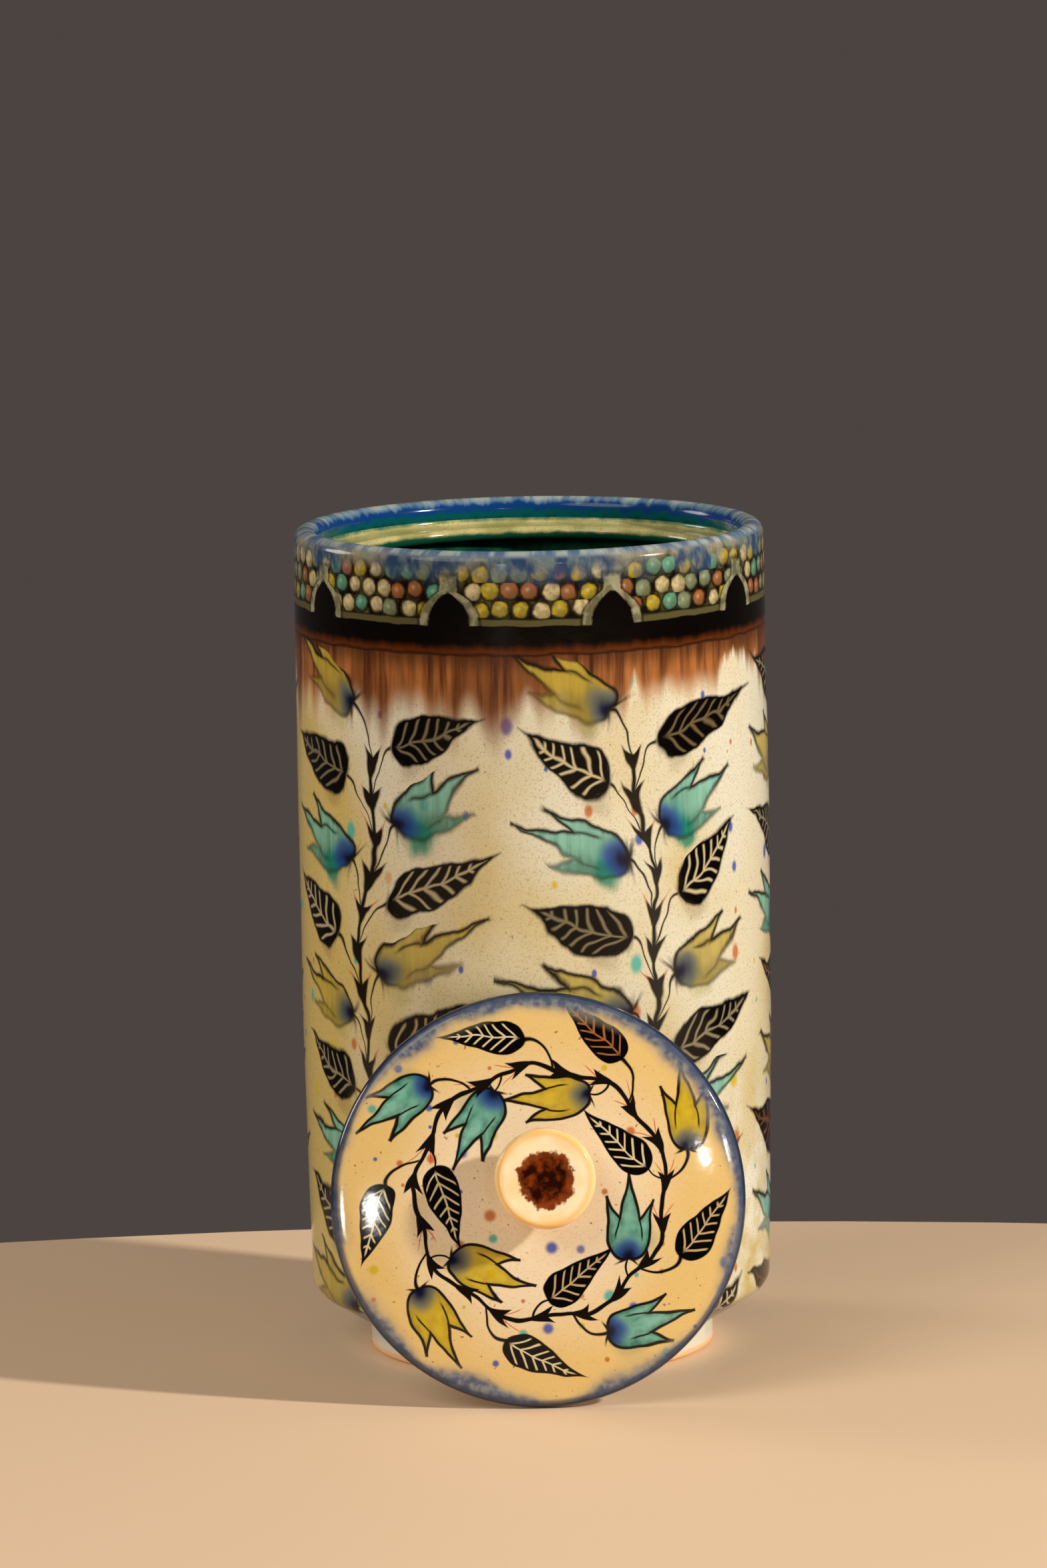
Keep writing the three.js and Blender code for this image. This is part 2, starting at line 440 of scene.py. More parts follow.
def most(*values):
    """The largest of several values."""
    found = values[0]
    for value in values[1:]:
        found = calculate("MAXIMUM", found, value)
    return found


def cell_of(place):
    """The whole number below a place, and the share of the way to the next."""
    cell = calculate("FLOOR", place)
    return cell, place - cell


def wrap(value, count):
    """The value, started again from 0 at every count."""
    return calculate("FLOORED_MODULO", value, float(count))


def sine(value):
    return calculate("SINE", value)


def cosine(value):
    return calculate("COSINE", value)


def vector(x, y, z):
    """A point from three Fields or numbers."""
    return shade("CombineXYZ", {0: x, 1: y, 2: z})


def parts_of(point):
    """The three coordinates of a point."""
    return outputs_of(shade("SeparateXYZ", {0: point}))


def length(x, y):
    """Distance of (x, y) from the origin."""
    return shade("VectorMath", {0: vector(x, y, 0.0)}, "Value", operation="LENGTH")


def scaled(point, factors):
    """The point with each coordinate times its own factor."""
    return shade("VectorMath", {0: point, 1: Vector(factors)}, operation="MULTIPLY")


def in_turned_axes(first, second, turn_cos, turn_sin):
    """The point (first, second) in axes turned by an angle, of which the cosine and sine are given."""
    return first * turn_cos + second * turn_sin, second * turn_cos - first * turn_sin


def ramp(value, start, end):
    """0 at start, 1 at end, and smooth between them."""
    return shade("MapRange", {0: value, 1: start, 2: end}, interpolation_type="SMOOTHSTEP")


def held(value, low, high):
    """The value, kept between low and high."""
    return shade("Clamp", {0: value, 1: low, 2: high})


def stroke(distance, half_width, softness):
    """1 on a line and 0 away from it."""
    return ramp(abs(distance), half_width + softness, half_width - softness)


def filled(distance, softness):
    """1 inside an edge and 0 outside it."""
    return ramp(distance, softness, -softness)


def mix(share, first, second):
    """first where share is 0 and second where it is 1; colours or numbers."""
    coloured = any(
        value.socket.type == "RGBA" if isinstance(value, Field) else isinstance(value, tuple)
        for value in (first, second))
    # The node's sockets for numbers are 2 and 3, and for colours 6 and 7
    kind, place, output = ("RGBA", 6, 2) if coloured else ("FLOAT", 2, 0)
    return shade("Mix", {0: share, place: first, place + 1: second}, output, data_type=kind)


def noise(point, size, detail=2.0, squeeze=1.0):
    """Cloudy noise around 0.5, its clouds about size mm across. A squeeze below 1 makes them tall."""
    point = scaled(point, (1.0, 1.0, squeeze))
    return shade("TexNoise", {"Vector": point, "Scale": 1.0 / size, "Detail": detail})


def centred(point, size, detail, reach):
    """The same noise around 0; reach is what a swing from 0 to 1 would come to."""
    return (noise(point, size, detail) - 0.5) * reach


def chance(first, second, third):
    """Four random numbers from 0 to 1, fixed by three others, which keep each use's draws apart."""
    value, colour = outputs_of(shade("TexWhiteNoise", {"Vector": vector(first, second, third)}))
    return [*outputs_of(shade("SeparateColor", {0: colour})), value]


def palette(value, *stops):
    """One of several colours, picked by a number from 0 to 1. Each stop is (start, colour)."""
    picked = shade("ValToRGB", {0: value})
    colours = picked.socket.node.color_ramp
    colours.interpolation = "CONSTANT"
    while len(colours.elements) < len(stops):
        colours.elements.new(0.5)
    for element, (start, colour) in zip(colours.elements, stops):
        element.position = start
        element.color = paint(*colour)
    return picked


def paint(red, green, blue):
    """A colour as seen on a screen, from 0 to 255, as the shader's own linear one."""
    linear = []
    for level in (red, green, blue):
        share = level / 255
        linear.append(share / 12.92 if share <= 0.04045 else ((share + 0.055) / 1.055) ** 2.4)
    return (*linear, 1.0)


# Colours: red, green and blue as seen on a screen, from 0 to 255

BLACK = (5, 3, 2)
INK = (17, 12, 8)
CREAM = (209, 203, 178)
WHITE = (209, 211, 199)
TAN = (190, 171, 106)
TURQUOISE = (108, 178, 164)
TURQUOISE_DEEP = (16, 112, 98)
TEAL = (18, 122, 98)
MUSTARD = (196, 170, 12)
MUSTARD_DEEP = (160, 134, 18)
OLIVE = (176, 156, 62)
OLIVE_DEEP = (134, 120, 48)
COBALT = (28, 48, 140)
NAVY = (10, 16, 52)
SLATE = (70, 88, 96)
TERRACOTTA = (180, 98, 46)
RED = (196, 52, 34)

# How much the glazes bend light: the less, the weaker their reflections
GLAZE_IOR = 1.35
JAR_IOR = 1.28


def new_material(name, place=None, refraction=GLAZE_IOR):
    """A glaze, and its surface point in millimetres.

    Where place is given, the point is in the frame that this matrix moves to the object's place.
    """
    material = bpy.data.materials.new(name)
    material.use_nodes = True
    tree = material.node_tree
    tree.nodes["Principled BSDF"].inputs["IOR"].default_value = refraction
    point = Field(tree, tree.nodes.new("ShaderNodeTexCoord").outputs["Object"])
    if place is not None:
        undo = {"Vector": point, "Location": place.to_translation(), "Rotation": place.to_euler()}
        point = shade("Mapping", undo, vector_type="TEXTURE")
    return material, scaled(point, (1 / MM, 1 / MM, 1 / MM))


def finished(material, colour, roughness, relief, strength):
    """The glaze with its colour, its roughness and a fine relief in millimetres."""
    shader = material.node_tree.nodes["Principled BSDF"]
    feed(colour, shader.inputs["Base Color"])
    feed(roughness, shader.inputs["Roughness"])
    bump = shade("Bump", {"Strength": strength, "Distance": MM, "Height": relief})
    feed(bump, shader.inputs["Normal"])
    return material


# Leaves and flowers, shared by jar and lid

LEAF_LENGTH = 28.0
LEAF_HALF_WIDTH = 6.6
BLUNT_POWER = 0.5
TIP_POWER = 1.5
MIDDLE_PETAL = (27.0, 3.9)
SIDE_PETAL = (20.5, 3.9)
SIDE_TURN = math.radians(21)
CUP_RADIUS = 3.2
VEIN_GAP = 3.6
VEIN_SLANT = 0.9
VEIN_HALF_WIDTH = 0.3
DART_LENGTH = 4.6
DART_FLARE = 0.34
DART_FOOT = 0.3
DART_NOTCH = 1.3

# How paint lies under the glaze: sharp on the lid, and soft and run down the wall on the jar. Lengths are
# in millimetres, waver is how far an edge strays, and cover is how much of the ground a wash hides.
Touch = namedtuple("Touch", "softness waver line_width vein_softness cover runs yellow yellow_deep")
SHARP = Touch(0.2, 0.15, 0.48, 0.14, 0.92, False, MUSTARD, MUSTARD_DEEP)
RUN_DOWN = Touch(0.6, 0.7, 0.6, 0.34, 0.86, True, OLIVE, OLIVE_DEEP)

widest_share = BLUNT_POWER / (BLUNT_POWER + TIP_POWER)
widest = widest_share ** BLUNT_POWER * (1 - widest_share) ** TIP_POWER


def petal(along, beside, run, half_width):
    """Distance to the edge of a drop shape with a round foot at 0 and a pointed tip at run."""
    share = held(along / run, 0.002, 0.995)
    half = share ** BLUNT_POWER * (1 - share) ** TIP_POWER * (half_width / widest)
    slope = half * (BLUNT_POWER / share - TIP_POWER / (1 - share)) / run
    side = (abs(beside) - half) / calculate("SQRT", slope * slope + 1.0)
    return most(side, -1.0 * along, along - run)


def flower_shape(along, beside):
    """Distances to the edge of a flower with three petals, and to the edge of its middle petal."""
    middle = petal(along, beside, *MIDDLE_PETAL)
    swung = in_turned_axes(along, abs(beside), math.cos(SIDE_TURN), math.sin(SIDE_TURN))
    return calculate("MINIMUM", middle, petal(*swung, *SIDE_PETAL)), middle


def veins(along, beside, softness):
    """1 on the midrib and the slanted side veins of a leaf, and 0 between them."""
    share = cell_of((along - abs(beside) * VEIN_SLANT) / VEIN_GAP)[1]
    from_vein = (share - 0.5) * (VEIN_GAP / math.hypot(1.0, VEIN_SLANT))
    return most(*(stroke(distance, VEIN_HALF_WIDTH, softness) for distance in (from_vein, beside)))


def painted_leaf(ground, along, beside, seed, mottle, touch, vein_strength):
    """A black leaf with pale veins."""
    edge = petal(along, beside, LEAF_LENGTH, LEAF_HALF_WIDTH) + (mottle - 0.5) * touch.waver
    hue = palette(
        chance(seed, 5.5, 7.5)[0], (0.0, (232, 216, 172)), (0.6, (204, 178, 130)),
        (0.88, (168, 104, 58)))
    pale = veins(along, beside, touch.vein_softness) * ramp(edge, -0.7, -1.5) * ramp(along, 1.0, 3.0)
    return mix(filled(edge, touch.softness), ground, mix(pale * vein_strength, BLACK, hue))


def painted_flower(ground, along, beside, mustard, mottle, touch):
    """Three outlined petals, washed in turquoise, or in mustard where that is 1, with a blue foot."""
    edge, middle = flower_shape(along, beside)
    edge = edge + (mottle - 0.5) * touch.waver
    body = filled(edge, touch.softness)
    uneven = (mottle - 0.5) * 1.6
    upper = ramp(beside, -4.5, 0.5)
    deep = 0.8 - upper * 0.7 if touch.runs else ramp(edge, -2.6, -0.1) * 0.7
    deep = held(deep + ramp(along, 14.0, 7.0) * 0.4 + uneven, 0.0, 1.0)
    turquoise = mix(deep, TURQUOISE, TURQUOISE_DEEP)
    yellow = mix(deep, touch.yellow, touch.yellow_deep)
    colour = mix(body * touch.cover, ground, mix(mustard, turquoise, yellow))

    from_foot = length(along * 0.8, beside) + uneven
    halo = mix(mustard, COBALT, SLATE)
    colour = mix(ramp(from_foot, CUP_RADIUS * 2.0, CUP_RADIUS) * body * 0.8, colour, halo)
    colour = mix(ramp(from_foot, CUP_RADIUS * 1.3, CUP_RADIUS * 0.2) * body, colour, NAVY)
    inner = stroke(middle, touch.line_width * 0.6, touch.softness) * body * ramp(along, 5.0, 8.0)
    lines = most(stroke(edge, touch.line_width, touch.softness), inner)
    if touch.runs:
        lines = lines * (upper * 0.5 + 0.5)
    return mix(lines * 0.99, colour, INK)


def flower_shares(number):
    """Turquoise and mustard at a numbered place, each 0 or 1. Every second place is a black leaf's."""
    number = wrap(number, 4)
    return ramp(abs(number - 1.0), 0.6, 0.4), ramp(abs(number - 3.0), 0.6, 0.4)


def painted_motif(ground, along, beside, shares, bend, seed, mottle, touch, vein_strength):
    """Lays one leaf or flower over the ground. It starts at 0 and runs to LEAF_LENGTH along itself."""
    turquoise, mustard = shares
    share = held(along / LEAF_LENGTH, 0.0, 1.0)
    beside = beside - bend * share * share
    leaf = painted_leaf(ground, along, beside, seed, mottle, touch, vein_strength)
    flower = painted_flower(ground, along, beside, mustard, mottle, touch)
    return mix(turquoise + mustard, leaf, flower)


def dart(along, beside, size):
    """Distance to a small forked sepal on a stem, which opens towards +along."""
    along = along / size
    beside = abs(beside) / size
    outer = beside - (along * DART_FLARE + DART_FOOT)
    notch = (along - DART_LENGTH) * DART_NOTCH - beside
    return most(outer, notch, -1.0 * along)


def spatter(ground, across, up, columns, width, seed, share, elongation):
    """Small drops of colour, one at most in each cell of a grid that starts again after its columns.

    share is how many of the cells have one.
    """
    column, across_share = cell_of(across / width)
    row, up_share = cell_of(up / width)
    column = wrap(column + 0.5, columns)
    red, green, blue, value = chance(column, row, seed)
    spot_across = (across_share - 0.5 - (red - 0.5) * 0.55) * width
    spot_up = (up_share - 0.5 - (green - 0.5) * 0.5) * width
    size = blue * blue * 1.1 + 0.45
    far = length(spot_across, spot_up / elongation)
    there = ramp(far, size * 1.5, size * 0.55) * ramp(value, share + 0.01, share - 0.01)
    colour = palette(
        chance(column, row, seed + 5.3)[0], (0.0, (42, 70, 162)), (0.3, (60, 165, 155)),
        (0.5, MUSTARD), (0.66, TERRACOTTA))
    return mix(there * 0.9, ground, colour)


# The jar's paint

VINES = 5
VINE_WIDTH = 2 * math.pi * RIM_RADIUS / VINES
VINE_SHIFT = 29.0
ROW_GAP = 19.6
FIRST_ROW = -5.5
LAST_ROW = 8
ROW_SLANT = math.tan(math.radians(27))
SIDE_SHIFT = 0.25
VINE_WARP = 4.4
LONG_SWAY = (104.0, 3.4)
SHORT_SWAY = (41.0, 1.3)
LEAF_TILT = math.radians(21)
LEAF_STRETCH = 1.09
STALK_REACH = 6.2
STALK_FOOT = 2.6
STALK_TOP = 11.8
RUN_PLACE = 6.5
RUN_SIZE = (5.4, 8.6)
STEM_TOP = 162.0
BEVEL_STRETCH = 0.56
DROPS_ROUND = 34
BLACK_BAND = (189.9, 194.5)
BROWN_LINE = 187.4
BEAD_FLOOR = 196.3
BEAD_ROW = 4.6
BEADS_ROUND = 76
BEAD_WIDTH = 2 * math.pi * RIM_RADIUS / BEADS_ROUND
BEAD_RADIUS = 2.15
ARCHES = 9
ARCH_HALF_WIDTH = 5.6
ARCH_HEIGHT = 8.6
ARCH_POWER = 2.6


def jar_ground(point, height):
    """Cream glaze with a brown grain and specks, tan low on the left and whiter high on the right: partly
    the glaze's own tone and partly painted shade and light.
    """
    x = parts_of(point)[0]
    # Painted shade and light, partly glaze tone: the ground leans tan towards the lower left, away from
    # the key light, and whiter towards the upper right
    tone_and_shade_lean = x * 0.0018 + (height - 120.0) * 0.0020
    clouds = noise(point, 38.0) - tone_and_shade_lean
    colour = mix(ramp(clouds, 0.3, 0.7), CREAM, TAN)
    milky_and_lit = noise(point, 24.0, 1.0, 0.5) + tone_and_shade_lean
    colour = mix(ramp(milky_and_lit, 0.44, 0.76) * 0.6, colour, WHITE)
    bluish = ramp(height, 92.0, 40.0) * ramp(x, 26.0, 54.0) * ramp(noise(point, 11.0), 0.38, 0.6)
    colour = mix(bluish * 0.6, colour, (226, 234, 232))
    greenish = ramp(height, 34.0, 8.0) * ramp(noise(point, 14.0), 0.42, 0.62)
    colour = mix(greenish * 0.35, colour, (172, 172, 116))
    colour = mix(ramp(noise(point, 0.5), 0.5, 0.72) * 0.42, colour, (150, 118, 66))
    return mix(ramp(noise(point, 0.9, 0.0), 0.8, 0.86) * 0.5, colour, (112, 78, 42))


def brown_drips(colour, point, height, angle):
    """Brown slip that has run down from the line under the black band."""
    below = BROWN_LINE - height
    long_waves = sine(angle * 2.0 + 2.5) * 3.2 + sine(angle * 5.0 + 0.6) * 2.2
    run = noise(point, 7.0, 1.0, 0.03)
    reach = (run - 0.5) * 34.0 + long_waves + 13.0
    fine = noise(point, 1.5, 2.0, 0.06)
    reach = most(reach, 5.0) + (fine - 0.5) * 11.0
    reach = most(reach, 2.0)
    share = below / reach
    there = ramp(share + (fine - 0.5) * 0.6, 1.4, 0.6) * ramp(below, -0.6, 0.2)
    slip = mix(ramp(fine, 0.28, 0.74), (62, 24, 6), (166, 104, 54))
    slip = mix(ramp(run, 0.56, 0.42) * 0.5, slip, (170, 108, 56))
    slip = mix(ramp(share, 0.4, 1.2) * 0.6, slip, (186, 128, 76))
    slip = mix(ramp(noise(point, 15.0, 1.0, 0.3), 0.44, 0.6) * 0.5, slip, (64, 24, 2))
    slip = mix(ramp(below, 6.0, 0.0) * 0.7, slip, (50, 18, 2))
    return mix(there * 0.99, colour, slip)


def jar_vines(colour, point, height, angle):
    """Five stems round the jar, with black leaves and flowers by turns on both sides."""
    up = height + centred(scaled(point, (1.0, 1.0, -1.0)), 8.0, 1.0, VINE_WARP)
    sway = sine(up * (2 * math.pi / LONG_SWAY[0]) + angle * 2.0) * LONG_SWAY[1]
    sway = sway + sine(up * (2 * math.pi / SHORT_SWAY[0])) * SHORT_SWAY[1]
    across = angle * RIM_RADIUS - VINE_SHIFT - sway + centred(point, 9.0, 1.0, VINE_WARP)
    vine, share = cell_of(across / VINE_WIDTH + 0.5)
    from_stem = (share - 0.5) * VINE_WIDTH
    vine = wrap(vine + 0.5, VINES)
    side = calculate("SIGN", from_stem)
    reach = abs(from_stem)

    shift = (chance(vine, 3.5, 8.5)[1] - 0.5) * 0.16
    row, share = cell_of((up - reach * ROW_SLANT - FIRST_ROW) / ROW_GAP + side * SIDE_SHIFT + shift)
    within = share * ROW_GAP
    in_rows = ramp(row, LAST_ROW + 0.6, LAST_ROW + 0.4) * ramp(row, -0.6, -0.4)
    red, green, blue, value = chance(row, side * 3.0, vine)
    start_reach = red * 2.6 + STALK_REACH
    start_within = (green - 0.5) * 1.2 + STALK_TOP
    out = reach - start_reach
    over = within - start_within + out * ROW_SLANT
    tilt = (blue - 0.5) * 0.3 + LEAF_TILT
    tilt_cos = cosine(tilt)
    tilt_sin = sine(tilt)
    along, beside = in_turned_axes(out, over, tilt_cos, tilt_sin)
    size = value * 0.10 + 0.95
    turquoise, mustard = flower_shares(row + side * 1.5 + vine)

    streaks = noise(point, 1.7, 2.0, 0.14)
    haze = (streaks - 0.5) * 2.0
    run_across = (out - tilt_cos * RUN_PLACE) / RUN_SIZE[0]
    run_down = (tilt_sin * RUN_PLACE - over - 4.8) / RUN_SIZE[1]
    run = ramp(length(run_across, run_down) + haze * 0.16, 1.0, 0.35) * ramp(within, 0.3, 3.0)
    run = run * mix(turquoise, mix(mustard, 0.28, 0.4), 0.9)
    runny = mix(turquoise, mix(mustard, (96, 56, 36), (150, 150, 84)), TEAL)
    colour = mix(run * in_rows, colour, runny)

    stalk_share = held(reach / start_reach, 0.0, 1.0)
    stalk_rise = start_within + start_reach * ROW_SLANT - STALK_FOOT
    stalk = within + reach * ROW_SLANT - STALK_FOOT - stalk_rise * sine(stalk_share * (math.pi / 2))
    stalks = stroke(stalk * 0.7 + haze * 0.15, 0.4, 0.35) * ramp(out, 0.8, -0.4) * in_rows
    stem = stroke(from_stem + haze * 0.15, 0.62, 0.36) * ramp(height, STEM_TOP, STEM_TOP - 5.0)

    dart_place = (up - FIRST_ROW) / ROW_GAP + shift
    darts = 0.0
    for half in (0.5, 0.0):
        dart_along = cell_of(dart_place + half)[1] * ROW_GAP
        darts = most(filled(dart(dart_along - 3.0, from_stem, 1.2) + haze * 0.2, 0.36), darts)
    darts = darts * ramp(height, STEM_TOP + 3.0, STEM_TOP + 1.0)
    hairs = stroke(reach - 0.6 - (dart_along - 7.0) * 0.75, 0.2, 0.16)
    hairs = hairs * ramp(dart_along, 6.6, 7.6) * ramp(dart_along, 13.0, 11.0)
    colour = mix(hairs * ramp(height, STEM_TOP, STEM_TOP - 2.0) * 0.75, colour, RED)
    colour = mix(most(stalks, stem, darts) * 0.99, colour, (14, 9, 6))

    motif = painted_motif(
        colour, along / (size * LEAF_STRETCH), beside / size, (turquoise, mustard), 2.4,
        row * 7.0 + side + vine * 3.0, streaks, RUN_DOWN, ramp(blue, 0.1, 0.9) * 0.45 + 0.22)
    return mix(in_rows, colour, motif)


def beads(point, height, angle):
    """Rows of outlined round beads, each with a painted highlight in it and painted shade on its lower
    right.
    """
    row, up_share = cell_of((height - BEAD_FLOOR) / BEAD_ROW)
    column, across_share = cell_of(angle * (BEADS_ROUND / (2 * math.pi)) + wrap(row, 2) * 0.5)
    red, green, blue, value = chance(wrap(column + 0.5, BEADS_ROUND), row, 2.5)
    beside = (across_share - 0.5) * BEAD_WIDTH + (red - 0.5) * 1.1
    over = (up_share - 0.5) * BEAD_ROW + (green - 0.5) * 1.0
    far = length(beside, over) - (blue * 0.4 + BEAD_RADIUS) + centred(point, 1.8, 2.0, 1.2)
    hue = palette(
        value, (0.0, (190, 176, 132)), (0.3, (78, 146, 124)), (0.5, (172, 152, 36)),
        (0.68, (150, 88, 52)), (0.86, (118, 132, 106)))
    # Painted shade: each bead darker towards its lower right
    hue = mix(ramp(over - beside * 0.6, 0.6, -2.2) * 0.5, hue, (44, 36, 14))
    hue = mix(ramp(noise(point, 1.4), 0.36, 0.66) * 0.5, hue, (92, 88, 54))
    colour = mix(ramp(noise(point, 4.0), 0.44, 0.7), (14, 9, 3), (84, 78, 44))
    colour = mix(filled(far, 0.35), colour, hue)
    colour = mix(stroke(far, 0.36, 0.45) * 0.96, colour, INK)
    # Painted highlight: a pale spot up and to the left in each bead
    spot = length(beside + 0.4, over - 0.4) - 0.5
    return mix(filled(spot, 0.4) * 0.25, colour, CREAM)


def rim_border(colour, point, height, angle):
    """The painted border under the rim: beads, black arches and a black band with a brown line."""
    band_low, band_high = BLACK_BAND
    level = height + centred(point, 7.0, 2.0, 1.3)
    arch_place = cell_of(angle / (2 * math.pi / ARCHES) + 1.0)[1] - 0.5
    from_arch = abs(arch_place) * (2 * math.pi * RIM_RADIUS / ARCHES)
    arch_share = held((level - band_high) / ARCH_HEIGHT, 0.0, 1.0)
    arch_half = (1 - arch_share ** ARCH_POWER) * ARCH_HALF_WIDTH
    arch = most(from_arch - arch_half, (level - band_high - ARCH_HEIGHT) * 0.6)
    arch = arch * 0.85 + centred(point, 0.9, 1.0, 0.6)

    border = beads(point, height, angle)
    border = mix(ramp(height, BEAD_FLOOR + 0.2, BEAD_FLOOR - 0.2), border, (80, 76, 46))
    border = mix(stroke(level - BEAD_FLOOR, 0.22, 0.25) * 0.85, border, INK)
    stripe = mix(ramp(noise(point, 3.0), 0.36, 0.64), (92, 92, 66), (146, 146, 122))
    border = mix(filled(arch - 1.9, 0.4) * 0.9, border, stripe)
    border = mix(stroke(arch - 2.2, 0.26, 0.3) * 0.8, border, INK)
    border = mix(filled(arch, 0.35), border, BLACK)

    lower_edge = level + (noise(point, 2.2, 2.0, 0.2) - 0.5) * 1.8
    glow = mix(ramp(lower_edge, BROWN_LINE + 0.2, band_low), (86, 40, 10), (28, 10, 2))
    colour = mix(ramp(height, BROWN_LINE - 0.5, BROWN_LINE + 0.3), colour, glow)
    colour = mix(stroke(level - BROWN_LINE, 0.34, 0.35) * 0.85, colour, (30, 12, 4))
    colour = mix(ramp(lower_edge, band_low - 0.5, band_low + 0.4), colour, BLACK)
    return mix(ramp(level, band_high - 0.15, band_high + 0.2), colour, border)


def blue_rim(colour, point, x, y, height, radius):
    """Cloudy blue over the lip that runs down a little outside, and blue and green inside."""
    # A point on the rim's circle, so that noise there runs in streaks down the wall and over the lip
    rim_point = vector(x / radius * RIM_RADIUS, y / radius * RIM_RADIUS, height * 0.5)
    streaks = noise(rim_point, 3.4, 3.0)
    patches = noise(point, 13.0)
    fine = noise(rim_point, 1.1)
    start = (streaks - 0.5) * 11.0 + (patches - 0.5) * 11.0 + 208.0
    there = ramp(height - start, -3.0, 3.0)
    blue = mix(ramp(streaks + (fine - 0.5) * 0.2, 0.36, 0.66), (40, 64, 102), (104, 120, 124))
    blue = mix(ramp(patches, 0.48, 0.64) * 0.7, blue, (164, 158, 128))
    blue = mix(ramp(noise(point, 0.6, 1.0), 0.46, 0.7) * 0.22, blue, (60, 62, 60))
    colour = mix(there * 0.94, colour, blue)
    on_top = ramp(height, JAR_HEIGHT - 1.9, JAR_HEIGHT - 0.3)
    pale = mix(ramp(streaks, 0.62, 0.4), (74, 104, 148), (176, 190, 188))
    colour = mix(on_top * 0.75, colour, pale)
    inner = ramp(radius, RIM_RADIUS - 3.2, RIM_RADIUS - 5.2)
    below = JAR_HEIGHT - height + (streaks - 0.5) * 4.0
    wall = mix(ramp(below, 0.4, 1.8), (104, 138, 160), (12, 58, 122))
    wall = mix(ramp(below, 2.4, 4.0), wall, (6, 80, 84))
    wall = mix(ramp(below, 4.2, 6.6), wall, (5, 42, 36))
    return mix(inner * ramp(below, -0.4, 1.0), colour, wall)


def jar_foot(colour, point, height, radius):
    """Whiter glaze on the foot, a green pool in its corner, and bare clay at its bottom edge."""
    on_foot = ramp(radius, FOOT_RADIUS + 3.0, FOOT_RADIUS + 1.0)
    colour = mix(on_foot * 0.85, colour, (234, 228, 212))
    corner = stroke(radius - FOOT_RADIUS - 1.2, 1.2, 1.6) * ramp(height, 2.6, 5.0)
    colour = mix(corner * ramp(noise(point, 9.0), 0.4, 0.62) * 0.6, colour, (120, 176, 140))
    bare = ramp(height + centred(point, 4.0, 2.0, 1.6), 2.3, 1.7)
    return mix(bare, colour, (232, 190, 140)), bare


def jar_material():
    """The jar's paint from the ground up, with bare clay at the bottom of the foot."""
    material, point = new_material("jar_glaze", refraction=JAR_IOR)
    x, y, height = parts_of(point)
    radius = length(x, y)
    angle = calculate("ARCTAN2", x, y * -1.0)
    level = height - most(SHOULDER_RADIUS - 0.8 - radius, 0.0) * BEVEL_STRETCH

    colour = jar_ground(point, level)
    around = angle * RIM_RADIUS
    width = 2 * math.pi * RIM_RADIUS / DROPS_ROUND
    colour = spatter(colour, around, level, DROPS_ROUND, width, seed=1.5, share=0.42, elongation=1.5)
    colour = brown_drips(colour, point, height, angle)
    colour = jar_vines(colour, point, level, angle)
    colour = rim_border(colour, point, height, angle)
    colour = blue_rim(colour, point, x, y, height, radius)
    colour, bare = jar_foot(colour, point, height, radius)
    peel = noise(point, 4.5) * 0.10 + noise(point, 0.5, 1.0) * 0.008
    return finished(material, colour, bare * 0.55 + 0.13, peel, 0.35)


def inside_material():
    """Dark green glaze that pools on the jar's floor."""
    material, point = new_material("inside_glaze")
    height = parts_of(point)[2]
    runs = noise(point, 5.0, 3.0, 0.15)
    colour = mix(ramp(runs, 0.35, 0.68), (8, 50, 38), (20, 88, 64))
    colour = mix(ramp(height, 60.0, 6.0) * 0.6, colour, (6, 40, 34))
    return finished(material, colour, 0.12, noise(point, 4.5) * 0.1, 0.35)


def ledge_material():
    """Speckled cream glaze, green where it meets the wall and under its nose."""
    material, point = new_material("ledge_glaze")
    x, y, height = parts_of(point)
    radius = length(x, y)
    streaks = noise(point, 4.0, 2.0, 0.5)
    colour = mix(ramp(noise(point, 9.0), 0.36, 0.66), (198, 188, 130), (160, 158, 98))
    colour = mix(ramp(noise(point, 0.5, 1.0), 0.5, 0.72) * 0.5, colour, (124, 120, 66))
    outer = ramp(radius + (streaks - 0.5) * 0.8, rim_inside_radius - 0.7, rim_inside_radius)
    colour = mix(outer, colour, (10, 100, 84))
    nose = rim_inside_radius - LEDGE_REACH
    under = ramp(height + (streaks - 0.5) * 1.2, LEDGE_TOP - 1.1, LEDGE_TOP - 2.2)
    colour = mix(under * ramp(radius, nose + 3.0, nose + 1.0), colour, (16, 76, 56))
    return finished(material, colour, 0.12, noise(point, 4.0) * 0.1, 0.3)


# The lid's paint

RING_CENTRE = (0.7, 1.8)
RING_RADIUS = 31.4
RING_WARP = 2.4
RING_DARTS = 19
LID_MOTIF_SCALE = 0.80
BLACK_LEAF_NARROWING = 1.18

# The two sides of the ring; outward is 1 outside it and -1 inside. A motif starts at reach from the ring
# and back from its own place, which offset moves by a share of a gap. It leans away from the ring and
# bends, on a stalk that is an arc of an ellipse, and first picks the first one's kind.
RingSide = namedtuple(
    "RingSide", "outward motifs first offset reach back lean bend stalk_back stalk_rise seed")
OUTER_SIDE = RingSide(1.0, 9, 0.0, 0.35, 6.2, 7.0, 0.40, -1.6, 5.0, 8.6, 3.5)
INNER_SIDE = RingSide(-1.0, 7, 1.0, 0.0, 4.6, 6.4, 0.28, 1.6, 4.6, 4.2, 9.5)


